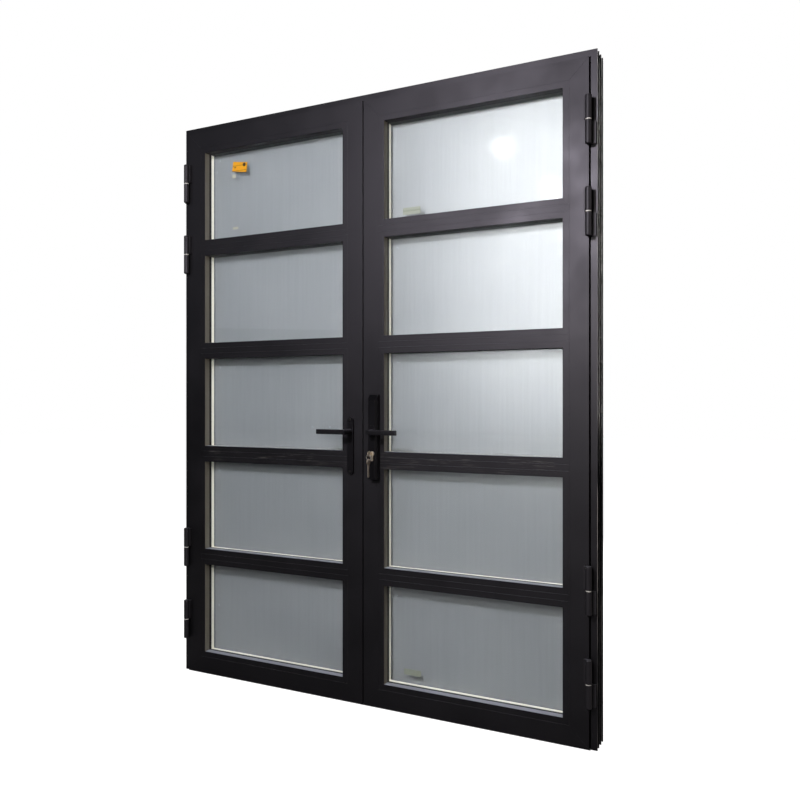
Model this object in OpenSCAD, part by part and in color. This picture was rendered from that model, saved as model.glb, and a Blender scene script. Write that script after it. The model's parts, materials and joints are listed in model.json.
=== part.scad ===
// French doors: a pair of glazed aluminium leaves in their own thermally broken frame.
// X runs across the doorway, Y runs from the front to the back, Z is up.
// The origin is under the threshold, on the middle line, in the plane of the frame's front face.

/* [Frame] */
// Overall width of the frame
frame_w = 1600; // [1200:10:2000]
// Overall height of the frame
frame_h = 2100; // [1700:10:2600]
// Depth of the frame from front to back
frame_depth = 75; // [72:1:90]
// Width of the jamb and head that shows beside the leaves
frame_face = 20; // [18:1:40]
// Depth of the frame's front aluminium half
frame_front_depth = 23; // [21:1:30]
// Depth of the frame's back aluminium half
frame_back_depth = 27; // [24:1:34]
// Depth of the open grooves in the frame's outer side
groove_depth = 7; // [4:0.5:10]
// How far the stop at the back covers the leaves
stop_cover = 16.5; // [12:0.5:24]
// Depth of the stop from front to back
stop_depth = 8; // [6:0.5:10]
// Thickness of the threshold plate
threshold_plate = 2.5; // [2:0.5:4]

/* [Leaves] */
// How far a leaf stands in front of the frame
leaf_proud = 10; // [8:1:14]
// Width of a leaf profile without its glazing bead
stile_face = 60; // [58:1:90]
// Width of a glazing bead
bead_face = 20; // [16:1:26]
// Width of a glazing bar between its two beads
bar_web = 20; // [16:1:40]
// Number of panes, one above the other, in each leaf
panes = 5; // [3:1:7]
// Step from a leaf's front flange to its main body, along its outer edge
flange_step = 4; // [4:0.5:6]
// Depth of a leaf's front aluminium half
leaf_front_depth = 37; // [35:1:40]
// Depth of a leaf's back aluminium half
leaf_back_depth = 16; // [12:1:18]
// Thickness of the rear glazing lip
lip_t = 4; // [3:0.5:5]
// Wall thickness of the aluminium profiles
wall = 1.8; // [1.4:0.1:2.2]

/* [Gaps] */
// Gap between a leaf's flange and the frame
side_gap = 3.5; // [3:0.5:6]
// Gap between the two leaves' flanges
meeting_gap = 4; // [4:0.5:8]
// Gap between a leaf's flange and the threshold plate
sill_gap = 2.5; // [2:0.5:6]
// Clearance of the stop gasket to the leaves
seal_gap = 0.3; // [0.2:0.1:0.5]
// Room between the back of a leaf and the stop, which the stop gasket fills
gasket_room = 2; // [1.5:0.5:4]
// Running clearance of a round shaft in its bore, on the radius
run_gap = 0.05; // [0.02:0.01:0.1]
// Clearance around locks and bolts
lock_gap = 0.3; // [0.2:0.1:0.5]

/* [Glazing] */
// Depth of a glazing bead from its front face to its gasket
bead_depth = 25; // [22:1:27]
// Wall thickness of a glazing bead
bead_wall = 1.5; // [1.2:0.1:2]
// Thickness of the front glazing gasket
front_gasket = 4; // [3:0.5:5]
// Thickness of one pane
pane_t = 5; // [4:0.5:6]
// Width of the spacer bar between two panes
spacer_w = 27; // [20:1:28]
// How far the panes reach behind the beads
edge_cover = 15; // [10:0.5:17]
// Depth of the sealant behind the spacer bar
sealant = 5; // [3:0.5:6]

/* [Hinges] */
// Length of a whole hinge barrel
hinge_len = 147; // [100:1:180]
// Radius of a hinge barrel
barrel_r = 10; // [8:0.5:11]
// Radius of a hinge pin
pin_r = 5; // [4:0.5:6]
// Distance of the hinge axis in front of the leaf's face
hinge_offset = 12; // [12:0.5:16]
// Thickness of the washer between two knuckles
washer_t = 3.5; // [2:0.5:5]
// Height of the lowest hinge
lowest_hinge_z = 203; // [150:1:300]
// Height of the second hinge
second_hinge_z = 481; // [470:1:600]
// Distance of the third hinge below the top of the frame
third_hinge_drop = 489; // [450:1:550]
// Distance of the top hinge below the top of the frame
top_hinge_drop = 215; // [150:1:290]

/* [Handles] */
// Height of the lever axes
lever_z = 940; // [900:5:1050]
// Length of a lever from its axis to its tip
lever_len = 105; // [90:1:140]
// Height of a lever's grip
grip_h = 17; // [14:0.5:20]
// Thickness of a lever's grip
grip_t = 12; // [10:0.5:14]
// Distance of the grip's middle from the leaf's face
lever_reach = 55; // [50:1:65]
// Distance of the left lever's axis from its leaf's edge
left_backset = 45; // [40:1:46]
// Distance of the right lever's axis from its leaf's edge
right_backset = 47.5; // [44:0.5:50]
// Width of the left backplate
left_plate_w = 24; // [22:1:28]
// Thickness of the left backplate
left_plate_t = 9; // [8:1:12]
// Height of the left backplate
left_plate_h = 197; // [185:1:210]
// Height of the left lever's axis above the foot of its backplate
left_plate_drop = 147; // [130:1:160]
// Width of the right lock plate
right_plate_w = 33; // [31:1:38]
// Thickness of the right lock plate
right_plate_t = 26; // [24:1:30]
// Height of the right lock plate
right_plate_h = 287; // [280:1:310]
// Height of the right lever's axis above the foot of its lock plate
right_plate_drop = 160; // [150:1:180]
// Thickness of the plate on the outside of the right leaf
outer_plate_t = 10; // [8:1:14]
// Distance from the right lever's axis down to the cylinder
cylinder_drop = 73; // [72:1:92]

/* [Bolts] */
// Travel of the latch bolt
latch_throw = 14; // [10:1:14]
// Travel of the dead bolt
dead_throw = 20; // [12:1:22]
// Radius of the shoot bolts' tips
shoot_r = 4; // [3:0.5:4.5]
// How far the top shoot bolt reaches into the head
shoot_engage = 9; // [5:0.5:9]

/* [Keys] */
// Thickness of a key
key_t = 2.2; // [1.8:0.1:2.6]
// Radius of a key's bow
bow_r = 11; // [9:0.5:12]
// Middle radius of the split ring
ring_r = 8.6; // [8:0.1:12]
// Radius of the split ring's wire
ring_wire = 0.9; // [0.7:0.1:1.1]

/* [Hidden] */
$fn = 48;

// Depths, measured from the frame's front face
leaf_front = -leaf_proud;
stop_front = frame_depth - stop_depth;
leaf_back = stop_front - gasket_room;
front_shell_end = leaf_front + leaf_front_depth;
back_shell_start = leaf_back - leaf_back_depth;
lip_front = leaf_back - lip_t;
bead_back = leaf_front + bead_depth;
glass_front = bead_back + front_gasket;
rear_pane_front = glass_front + pane_t + spacer_w;
glass_back = rear_pane_front + pane_t;
frame_back_start = frame_depth - frame_back_depth;

// Leaf outline of the right leaf; the left one is its mirror image
leaf_x0 = meeting_gap / 2;
leaf_x1 = frame_w / 2 - frame_face - side_gap;
leaf_z0 = threshold_plate + sill_gap;
leaf_z1 = frame_h - frame_face - side_gap;
leaf_face = stile_face + bead_face;
bar_face = bar_web + 2 * bead_face;
open_x0 = leaf_x0 + leaf_face;
open_x1 = leaf_x1 - leaf_face;
pane_h = (leaf_z1 - leaf_z0 - 2 * leaf_face - (panes - 1) * bar_face) / panes;
function pane_z0(i) = leaf_z0 + leaf_face + i * (pane_h + bar_face);
body_x0 = leaf_x0 + flange_step;

// Hinges
hinge_x = (leaf_x1 + frame_w / 2 - frame_face) / 2 - 0.25;
hinge_y = leaf_front - hinge_offset;
hinge_z = [lowest_hinge_z, second_hinge_z, frame_h - third_hinge_drop, frame_h - top_hinge_drop];
knuckle_len = (hinge_len - washer_t) / 2;
washer_r = barrel_r - 1.5;
wing_depth = 9;
wing_width = 17;
leaf_wing_width = 12;
leaf_wing_inset = 2;
wing_end = 2;
neck_width = 8;
neck_gap = 0.5;
pin_half = knuckle_len - 5;
blind_gap = 1;

// Frame details
fin = 2;
strip_t = 2;
strip_inset = 3;
seal_inset = 5;
seal_w = 8;
threshold_up = leaf_z0 + flange_step + seal_inset + seal_w;
threshold_nose = 6;
cleat_t = 1.5;
cleat_leg = 30;
fix_r = 3.75;
fix_y = 12;
fix_z = [300, 800, 1300, 1800];

// Handles and locks
left_x = leaf_x0 + left_backset;
right_x = leaf_x0 + right_backset;
cylinder_z = lever_z - cylinder_drop;
hub_r = 9.5;
spindle = 8;
spindle_gap = 0.1;
spindle_clear_r = 0.75 * spindle;
screw_r = 2.5;
screw_head_r = 4.6;
screw_head_h = 1.5;
left_screws_z = [-left_plate_drop + 9, left_plate_h - left_plate_drop - 9];
outer_screws_z = [-145, 110];
clamp_screw_end = 14;
set_screw_r = 1.6;
set_screw_x = 5;
set_screw_up = 22;
plate_edge = 3;
plate_bevel = 6;
plate_slope = 17;
plate_slope_depth = 14;
case_y = [5, 19];
case_x1 = leaf_x0 + stile_face - wall - 1;
case_z = [cylinder_z - 60, lever_z + 60];
case_wall = 1.5;
bolt_y = (case_y[0] + case_y[1]) / 2;
faceplate_t = 3;
faceplate_y = [3, 21];
faceplate_z = [cylinder_z - 80, lever_z + 75];
latch_h = 12;
latch_len = 28;
latch_t = 10;
latch_tip = latch_throw - body_x0;
dead_h = 20;
dead_t = 8;
dead_len = 18 + dead_throw;
dead_z = cylinder_z + 28;
plug_r = 6.5;
cyl_r = 8.5;
cyl_web = 10;
cyl_drop = 24.5;
cyl_out = 3;
cam_r = 13;
cam_y = [8, 16];

// Shoot bolt drive: a pinion between two racks
pinion_teeth = 16;
tooth_m = 1;
pinion_r = pinion_teeth * tooth_m / 2;
rack_pitch = PI * tooth_m;
rack_root = 1.25 * tooth_m;
shoot_bar_t = 3.5;
shoot_y = [8, 18];
shoot_mid_y = (shoot_y[0] + shoot_y[1]) / 2;
rack_teeth = 12;
low_tip_x = left_x - pinion_r - rack_root - 0.75;
top_tip_x = left_x + pinion_r + 0.9;
gear_case_half = 50;

// Keys: the one in the lock, the ring, and the spare key that hangs from it
key_hole_r = 3.2;
key_neck = 5;
key_blade_h = 8;
key_blade_len = 30;
plug_face = leaf_front - right_plate_t - cyl_out;
bow_y = plug_face - key_neck - bow_r;
ring_y = bow_y - 5;
rest_gap = 0.15;
ring_strand = 0.8 * ring_wire;
ring_hang = key_hole_r - 2 * ring_strand - rest_gap;
ring_top_z = cylinder_z - ring_hang;
ring_z = ring_top_z - ring_r;
spare_hole_z = ring_z - ring_r - ring_hang;
spare_bow_z = spare_hole_z - 5;
spare_blade = 36;

// ---- Shared shapes ----

// Places the right-hand shape, or its mirror image for the left leaf
module side(s) {
    if (s < 0) mirror([1, 0, 0]) children();
    else children();
}

// A box from its lowest to its highest corner
module box(a, b) {
    translate(a) cube([b[0] - a[0], b[1] - a[1], b[2] - a[2]]);
}

// A cylinder along Y from y0 to y1
module rod_y(x, z, r, y0, y1) {
    translate([x, y0, z]) rotate([-90, 0, 0]) cylinder(r = r, h = y1 - y0);
}

// A flat shape, drawn in X and Z, pushed along Y from y0 to y1
module plate_y(y0, y1) {
    translate([0, y1, 0]) rotate([90, 0, 0]) linear_extrude(y1 - y0) children();
}

// A profile's section has its outer edge at 0 along X and its depth along Y
module upright(x, z0, z1) {
    translate([x, 0, z0]) linear_extrude(z1 - z0) children();
}

module upright_back(x, z0, z1) {
    translate([x, 0, z0]) mirror([1, 0, 0]) linear_extrude(z1 - z0) children();
}

module hang_bar(z, x0, x1) {
    translate([x0, 0, z]) rotate([0, 90, 0]) linear_extrude(x1 - x0) children();
}

module stand_bar(z, x0, x1) {
    translate([x0, 0, z]) mirror([0, 0, 1]) rotate([0, 90, 0]) linear_extrude(x1 - x0) children();
}

// A frame of four mitred pieces is cut by these wedges
module wedge(points) {
    plate_y(-200, 200) polygon(points);
}

module rect_ring(x0, x1, z0, z1, w, y0, y1) {
    difference() {
        box([x0, y0, z0], [x1, y1, z1]);
        box([x0 + w, y0 - 1, z0 + w], [x1 - w, y1 + 1, z1 - w]);
    }
}

function fix_holes() = [for (z = fix_z) if (z < frame_h - 200) z];

// ---- Frame ----

module frame_section() {
    difference() {
        polygon([
            [0, 0], [frame_face, 0], [frame_face, frame_front_depth],
            [0, frame_front_depth], [0, frame_front_depth - fin],
            [groove_depth, frame_front_depth - fin], [groove_depth, fin], [0, fin]
        ]);
        polygon([
            [groove_depth + wall, wall], [frame_face - wall, wall],
            [frame_face - wall, frame_front_depth - wall],
            [groove_depth + wall, frame_front_depth - wall]
        ]);
    }
    difference() {
        polygon([
            [0, frame_back_start], [frame_face, frame_back_start],
            [frame_face, stop_front], [frame_face + side_gap + stop_cover, stop_front],
            [frame_face + side_gap + stop_cover, frame_depth], [0, frame_depth],
            [0, frame_depth - fin], [groove_depth, frame_depth - fin],
            [groove_depth, frame_back_start + fin], [0, frame_back_start + fin]
        ]);
        polygon([
            [groove_depth + wall, frame_back_start + wall],
            [frame_face - wall, frame_back_start + wall],
            [frame_face - wall, stop_front + wall],
            [frame_face + side_gap + stop_cover - wall, stop_front + wall],
            [frame_face + side_gap + stop_cover - wall, frame_depth - wall],
            [groove_depth + wall, frame_depth - wall]
        ]);
    }
}

module frame_strips() {
    for (u = [groove_depth + 1, frame_face - strip_inset - strip_t + 1])
        translate([u, frame_front_depth])
            square([strip_t, frame_back_start - frame_front_depth]);
}

frame_reach = frame_face + side_gap + stop_cover;

module jamb_cut() {
    intersection() {
        upright_back(frame_w / 2, 0, frame_h) children();
        wedge([
            [frame_w / 2, 0], [frame_w / 2 - frame_reach, 0],
            [frame_w / 2 - frame_reach, frame_h - frame_reach], [frame_w / 2, frame_h]
        ]);
    }
}

module head_cut() {
    intersection() {
        hang_bar(frame_h, -frame_w / 2, frame_w / 2) children();
        wedge([
            [-frame_w / 2, frame_h], [-frame_w / 2 + frame_reach, frame_h - frame_reach],
            [frame_w / 2 - frame_reach, frame_h - frame_reach], [frame_w / 2, frame_h]
        ]);
    }
}

// A jamb is drilled for the screws that fix it to the wall
module jamb(s) {
    color("#38373d") side(s) difference() {
        jamb_cut() frame_section();
        for (z = fix_holes())
            translate([frame_w / 2 - frame_face - 1, fix_y, z])
                rotate([0, 90, 0]) cylinder(r = fix_r, h = frame_face + 2);
    }
}

module left_jamb() {
    jamb(-1);
}

module right_jamb() {
    jamb(1);
}

// The head has a hole that the top shoot bolt enters
module head() {
    color("#38373d") difference() {
        head_cut() frame_section();
        translate([-top_tip_x, shoot_mid_y, frame_h - frame_face - 1])
            cylinder(r = shoot_r + 2 * lock_gap, h = wall + 1.5);
    }
}

// One extrusion: a flat plate under the leaves and an upstand behind them
module threshold() {
    plate_x = frame_w / 2 - frame_face;
    color("#2c2b2e") difference() {
        union() {
            box([-plate_x, -threshold_nose, 0], [plate_x, stop_front, threshold_plate]);
            box([-plate_x + side_gap + stop_cover, stop_front, 0],
                [plate_x - side_gap - stop_cover, frame_depth, threshold_up]);
        }
        box([-plate_x + side_gap + stop_cover - 1, stop_front + wall, wall],
            [plate_x - side_gap - stop_cover + 1, frame_depth - wall, threshold_up - wall]);
        translate([-low_tip_x, shoot_mid_y, -1])
            cylinder(r = shoot_r + 2 * lock_gap, h = threshold_plate + 2);
    }
}

module frame_thermal_breaks() {
    color("#1b1b1d") {
        for (s = [-1, 1]) side(s) jamb_cut() frame_strips();
        head_cut() frame_strips();
    }
}

// Bent plates in the rear groove hold the mitres and the feet of the jambs
module frame_corner_cleats() {
    y0 = frame_back_start + fin + 0.5;
    y1 = frame_depth - fin - 0.5;
    in = groove_depth - cleat_t;
    color("#c9c6bf") for (s = [-1, 1]) side(s) {
        difference() {
            box([frame_w / 2 - in - cleat_leg, y0, frame_h - in - cleat_leg],
                [frame_w / 2 - in, y1, frame_h - in]);
            box([frame_w / 2 - in - cleat_leg - 1, y0 - 1, frame_h - in - cleat_leg - 1],
                [frame_w / 2 - groove_depth, y1 + 1, frame_h - groove_depth]);
        }
        box([frame_w / 2 - groove_depth, y0, 0], [frame_w / 2 - in, y1, cleat_leg]);
    }
}

// A continuous rubber seal on the front of the stop
module stop_gasket() {
    out = leaf_x1 - flange_step - seal_inset;
    color("#141414") rect_ring(-out, out, leaf_z0 + flange_step + seal_inset,
        leaf_z1 - flange_step - seal_inset, seal_w, leaf_back + seal_gap, stop_front);
}

// ---- Hinges ----

function arc(cx, cy, r, a0, a1, n) =
    [for (i = [0:n]) [cx + r * cos(a0 + (a1 - a0) * i / n), cy + r * sin(a0 + (a1 - a0) * i / n)]];

// A knuckle stands on z = 0, with a rounded far end and a blind bore for the pin
module barrel() {
    rotate_extrude() polygon(concat(
        [[pin_r + run_gap, 0], [barrel_r, 0]],
        arc(barrel_r - 4, knuckle_len - 4, 4, 0, 90, 8),
        [[0, knuckle_len], [0, pin_half + blind_gap], [pin_r + run_gap, pin_half + blind_gap]]
    ));
}

// The wing of a knuckle: a plate on the face, and a neck from the barrel to that plate.
// It lies outwards of the pin where way is 1, and inwards where it is -1
module wing(x0, x1, y_face, way) {
    neck = [hinge_x, hinge_x + way * neck_width];
    difference() {
        union() {
            box([x0, y_face - wing_depth, wing_end], [x1, y_face, knuckle_len - wing_end]);
            box([min(neck), hinge_y, wing_end], [max(neck), y_face, knuckle_len - wing_end]);
        }
        translate([hinge_x, hinge_y, 0]) cylinder(r = barrel_r - 1, h = knuckle_len);
    }
}

module frame_knuckle() {
    translate([hinge_x, hinge_y, 0]) barrel();
    wing(frame_w / 2 - frame_face + neck_gap, frame_w / 2 - frame_face + wing_width, 0, 1);
}

module leaf_knuckle() {
    translate([hinge_x, hinge_y, 0]) barrel();
    wing(leaf_x1 - leaf_wing_inset - leaf_wing_width, leaf_x1 - leaf_wing_inset, leaf_front, -1);
}

module frame_hinge_knuckles() {
    color("#2b2b2e") for (s = [-1, 1], z = hinge_z)
        side(s) translate([0, 0, z - washer_t / 2]) mirror([0, 0, 1]) frame_knuckle();
}

module leaf_knuckles(s) {
    color("#2b2b2e") for (z = hinge_z)
        side(s) translate([0, 0, z + washer_t / 2 + 0.1]) leaf_knuckle();
}

module left_hinge_knuckles() {
    leaf_knuckles(-1);
}

module right_hinge_knuckles() {
    leaf_knuckles(1);
}

module hinge_pins() {
    color("#9a9a9c") for (s = [-1, 1], z = hinge_z)
        side(s) translate([hinge_x, hinge_y, z - pin_half]) cylinder(r = pin_r, h = 2 * pin_half);
}

module hinge_washers() {
    color("#dcd8cf") for (s = [-1, 1], z = hinge_z)
        side(s) translate([hinge_x, hinge_y, z - washer_t / 2]) difference() {
            cylinder(r = washer_r, h = washer_t);
            translate([0, 0, -1]) cylinder(r = pin_r + run_gap, h = washer_t + 2);
        }
}

// ---- Leaf profiles ----

module leaf_section() {
    difference() {
        polygon([
            [0, leaf_front], [stile_face, leaf_front], [stile_face, front_shell_end],
            [flange_step, front_shell_end], [flange_step, 0], [0, 0]
        ]);
        polygon([
            [wall, leaf_front + wall], [stile_face - wall, leaf_front + wall],
            [stile_face - wall, front_shell_end - wall],
            [flange_step + wall, front_shell_end - wall],
            [flange_step + wall, -wall], [wall, -wall]
        ]);
    }
    difference() {
        polygon([
            [flange_step, back_shell_start], [stile_face, back_shell_start],
            [stile_face, lip_front], [leaf_face, lip_front], [leaf_face, leaf_back],
            [flange_step, leaf_back]
        ]);
        translate([flange_step + wall, back_shell_start + wall])
            square([stile_face - flange_step - 2 * wall, leaf_back_depth - 2 * wall]);
    }
}

module leaf_strips() {
    for (u = [flange_step + strip_inset, stile_face - strip_inset - strip_t])
        translate([u, front_shell_end]) square([strip_t, back_shell_start - front_shell_end]);
}

module meeting_stile_cut() {
    intersection() {
        upright(leaf_x0, leaf_z0, leaf_z1) children();
        wedge([
            [leaf_x0, leaf_z0], [open_x0, leaf_z0 + leaf_face],
            [open_x0, leaf_z1 - leaf_face], [leaf_x0, leaf_z1]
        ]);
    }
}

module hinge_stile_cut() {
    intersection() {
        upright_back(leaf_x1, leaf_z0, leaf_z1) children();
        wedge([
            [leaf_x1, leaf_z0], [open_x1, leaf_z0 + leaf_face],
            [open_x1, leaf_z1 - leaf_face], [leaf_x1, leaf_z1]
        ]);
    }
}

module top_rail_cut() {
    intersection() {
        hang_bar(leaf_z1, leaf_x0, leaf_x1) children();
        wedge([
            [leaf_x0, leaf_z1], [open_x0, leaf_z1 - leaf_face],
            [open_x1, leaf_z1 - leaf_face], [leaf_x1, leaf_z1]
        ]);
    }
}

module bottom_rail_cut() {
    intersection() {
        stand_bar(leaf_z0, leaf_x0, leaf_x1) children();
        wedge([
            [leaf_x0, leaf_z0], [open_x0, leaf_z0 + leaf_face],
            [open_x1, leaf_z0 + leaf_face], [leaf_x1, leaf_z0]
        ]);
    }
}

module left_hinge_stile() {
    color("#303034") side(-1) hinge_stile_cut() leaf_section();
}

module right_hinge_stile() {
    color("#4a484f") side(1) hinge_stile_cut() leaf_section();
}

// The left stile takes the spindle, the plate's screws, the latch and the dead bolt
module left_meeting_stile() {
    color("#3a3a3e") side(-1) difference() {
        meeting_stile_cut() leaf_section();
        rod_y(left_x, lever_z, hub_r, leaf_front - 1, front_shell_end - wall - 1);
        for (z = left_screws_z)
            rod_y(left_x, lever_z + z, screw_r + run_gap, leaf_front - 1, leaf_front + wall + 1);
        latch_window();
        dead_window();
    }
}

module latch_window() {
    box([leaf_x0, bolt_y - latch_t / 2 - lock_gap, lever_z - latch_h / 2 - 1],
        [body_x0 + wall + 1, bolt_y + latch_t / 2 + lock_gap, lever_z + latch_h / 2 + 1]);
}

module dead_window() {
    box([leaf_x0, bolt_y - dead_t / 2 - lock_gap, dead_z - dead_h / 2 - 1],
        [body_x0 + wall + 1, bolt_y + dead_t / 2 + lock_gap, dead_z + dead_h / 2 + 1]);
}

// The right stile takes the lock case from its edge, and the spindle and cylinder through it
module right_meeting_stile() {
    color("#3f3d42") difference() {
        meeting_stile_cut() leaf_section();
        box([leaf_x0 + flange_step - 1, case_y[0] - lock_gap, case_z[0] - lock_gap],
            [body_x0 + wall + 1, case_y[1] + lock_gap, case_z[1] + lock_gap]);
        rod_y(right_x, lever_z, hub_r, leaf_front - 1, leaf_back + 1);
        cylinder_hole(leaf_front - 1, leaf_back + 1);
        for (z = outer_screws_z)
            rod_y(right_x, lever_z + z, screw_r + lock_gap, leaf_front - 1, leaf_back + 1);
    }
}

module left_top_rail() {
    color("#303034") side(-1) difference() {
        top_rail_cut() leaf_section();
        translate([top_tip_x, shoot_mid_y, leaf_z1 - flange_step - wall - 1])
            cylinder(r = shoot_r + lock_gap, h = wall + 2);
    }
}

module right_top_rail() {
    color("#5c5a63") top_rail_cut() leaf_section();
}

module left_bottom_rail() {
    color("#303034") side(-1) difference() {
        bottom_rail_cut() leaf_section();
        translate([low_tip_x, shoot_mid_y, leaf_z0 + flange_step - 1])
            cylinder(r = shoot_r + lock_gap, h = wall + 2);
    }
}

module right_bottom_rail() {
    color("#19181a") bottom_rail_cut() leaf_section();
}

// A glazing bar: a hollow web in front, and a T with two lips behind
module bar_front_section() {
    translate([-bar_web / 2, leaf_front]) difference() {
        square([bar_web, leaf_front_depth]);
        translate([wall, wall]) square([bar_web - 2 * wall, leaf_front_depth - 2 * wall]);
    }
}

module glazing_bars(s) {
    side(s) for (i = [1:panes - 1]) translate([0, 0, pane_z0(i) - bar_face / 2]) {
        hang_bar(0, leaf_x0 + stile_face, leaf_x1 - stile_face) bar_front_section();
        union() {
            box([leaf_x0 + stile_face, back_shell_start, -bar_web / 2],
                [leaf_x1 - stile_face, lip_front, bar_web / 2]);
            box([open_x0, lip_front - 1, -bar_web / 2], [open_x1, leaf_back, bar_web / 2]);
            box([open_x0, lip_front, -bar_face / 2], [open_x1, leaf_back, bar_face / 2]);
        }
    }
}

module left_glazing_bars() {
    color("#3b3a3f") glazing_bars(-1);
}

module right_glazing_bars() {
    color("#4a484e") glazing_bars(1);
}

module leaf_thermal_breaks(s) {
    color("#1b1b1d") side(s) {
        difference() {
            union() {
                meeting_stile_cut() leaf_strips();
                hinge_stile_cut() leaf_strips();
                top_rail_cut() leaf_strips();
                bottom_rail_cut() leaf_strips();
            }
            if (s > 0) {
                rod_y(right_x, lever_z, spindle_clear_r, leaf_front - 1, leaf_back + 1);
                cylinder_hole(leaf_front - 1, leaf_back + 1);
            }
        }
        for (i = [1:panes - 1], e = [-1, 1])
            translate([0, 0, pane_z0(i) - bar_face / 2 + e * (bar_web / 2 - strip_inset)])
                box([leaf_x0 + stile_face, front_shell_end, -strip_t / 2],
                    [leaf_x1 - stile_face, back_shell_start, strip_t / 2]);
    }
}

module left_thermal_breaks() {
    leaf_thermal_breaks(-1);
}

module right_thermal_breaks() {
    leaf_thermal_breaks(1);
}

// ---- Glazing ----

module bead_section() {
    polygon([
        [0, leaf_front], [bead_face, leaf_front], [bead_face, bead_back], [5, bead_back],
        [5, bead_back - bead_wall], [bead_face - bead_wall, bead_back - bead_wall],
        [bead_face - bead_wall, leaf_front + bead_wall], [bead_wall, leaf_front + bead_wall],
        [bead_wall, leaf_front + 12], [0, leaf_front + 12]
    ]);
}

// The long beads lie across the pane, and the short ones stand between them
module glazing_beads(s) {
    side(s) for (i = [0:panes - 1]) {
        z0 = pane_z0(i);
        z1 = z0 + pane_h;
        hang_bar(z1 + bead_face, open_x0 - bead_face, open_x1 + bead_face) bead_section();
        stand_bar(z0 - bead_face, open_x0 - bead_face, open_x1 + bead_face) bead_section();
        upright(open_x0 - bead_face, z0, z1) bead_section();
        upright_back(open_x1 + bead_face, z0, z1) bead_section();
    }
}

module left_glazing_beads() {
    color("#3d3c41") glazing_beads(-1);
}

module right_glazing_beads() {
    color("#4c4a50") glazing_beads(1);
}

module pane_set(s, y0) {
    side(s) for (i = [0:panes - 1])
        box([open_x0 - edge_cover, y0, pane_z0(i) - edge_cover],
            [open_x1 + edge_cover, y0 + pane_t, pane_z0(i) + pane_h + edge_cover]);
}

module left_front_panes() {
    color("#a9b4c0", 0.4) pane_set(-1, glass_front);
}

module right_front_panes() {
    color("#b9c3ce", 0.4) pane_set(1, glass_front);
}

module left_rear_panes() {
    color("#a3adb8") pane_set(-1, rear_pane_front);
}

module right_rear_panes() {
    color("#c4ccd4") pane_set(1, rear_pane_front);
}

// A spacer is a bent channel, open towards the edge of the glass
module spacer_bars(s) {
    out = edge_cover - sealant;
    web = 1.5;
    y0 = glass_front + pane_t;
    y1 = rear_pane_front;
    color("#f3ead6") side(s) for (i = [0:panes - 1]) {
        z0 = pane_z0(i);
        z1 = z0 + pane_h;
        difference() {
            rect_ring(open_x0 - out, open_x1 + out, z0 - out, z1 + out, out - 1, y0, y1);
            rect_ring(open_x0 - out - 1, open_x1 + out + 1, z0 - out - 1, z1 + out + 1,
                out - web, y0 + web, y1 - web);
        }
    }
}

module left_spacer_bars() {
    spacer_bars(-1);
}

module right_spacer_bars() {
    spacer_bars(1);
}

module glazing_gaskets(s) {
    w = 6;
    color("#101011") side(s) for (i = [0:panes - 1]) {
        z0 = pane_z0(i);
        z1 = z0 + pane_h;
        rect_ring(open_x0 - w, open_x1 + w, z0 - w, z1 + w, w, bead_back, glass_front);
        rect_ring(open_x0 - w, open_x1 + w, z0 - w, z1 + w, w, glass_back, lip_front);
    }
}

module left_glazing_gaskets() {
    glazing_gaskets(-1);
}

module right_glazing_gaskets() {
    glazing_gaskets(1);
}

// A soft seal on the back of the right leaf's edge, short of the left leaf's swing
module meeting_seal() {
    color("#141414") box([leaf_x0 + 0.5, leaf_back - 9, leaf_z0 + flange_step + 1],
        [body_x0, leaf_back - 2, leaf_z1 - flange_step - 1]);
}

// ---- Levers ----

module grip_section() {
    r = 3.5;
    for (a = [-1, 1], b = [-1, 1])
        translate([a * (grip_h / 2 - r), b * (grip_t / 2 - r)]) circle(r = r);
    square([grip_h, grip_t - 2 * r], center = true);
    square([grip_h - 2 * r, grip_t], center = true);
}

// A lever in front of a plate: a neck, and a straight grip that points to +X
module lever(plate_t) {
    reach = lever_reach;
    difference() {
        union() {
            rod_y(0, 0, hub_r, -reach + grip_t / 2 - 1, -plate_t + 4);
            rod_y(0, 0, hub_r - 1, -reach - grip_t / 2, -reach + grip_t / 2);
            translate([0, -reach, 0]) rotate([0, 90, 0]) linear_extrude(lever_len) grip_section();
        }
        box([-spindle / 2 - spindle_gap, -plate_t - 16, -spindle / 2 - spindle_gap],
            [spindle / 2 + spindle_gap, -plate_t + 5, spindle / 2 + spindle_gap]);
    }
}

module left_lever() {
    color("#2a2a2c") side(-1) translate([left_x, leaf_front, lever_z]) lever(left_plate_t);
}

module right_lever() {
    color("#2a2a2c") translate([right_x, leaf_front, lever_z]) lever(right_plate_t);
}

module outer_lever() {
    color("#2a2a2c") translate([right_x, leaf_back, lever_z]) mirror([0, 1, 0]) lever(outer_plate_t);
}

module square_bar(x, y0, y1) {
    box([x - spindle / 2, y0, lever_z - spindle / 2], [x + spindle / 2, y1, lever_z + spindle / 2]);
}

module left_spindle() {
    color("#8f9093") side(-1) square_bar(left_x, leaf_front - left_plate_t - 15, shoot_y[1] + 2);
}

module right_spindle() {
    color("#8f9093") square_bar(right_x, leaf_front - right_plate_t - 15, leaf_back + outer_plate_t + 15);
}

module spindle_hole(x, y0, y1) {
    e = spindle / 2 + spindle_gap;
    box([x - e, y0, lever_z - e], [x + e, y1, lever_z + e]);
}

// ---- Left leaf's hardware ----

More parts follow.
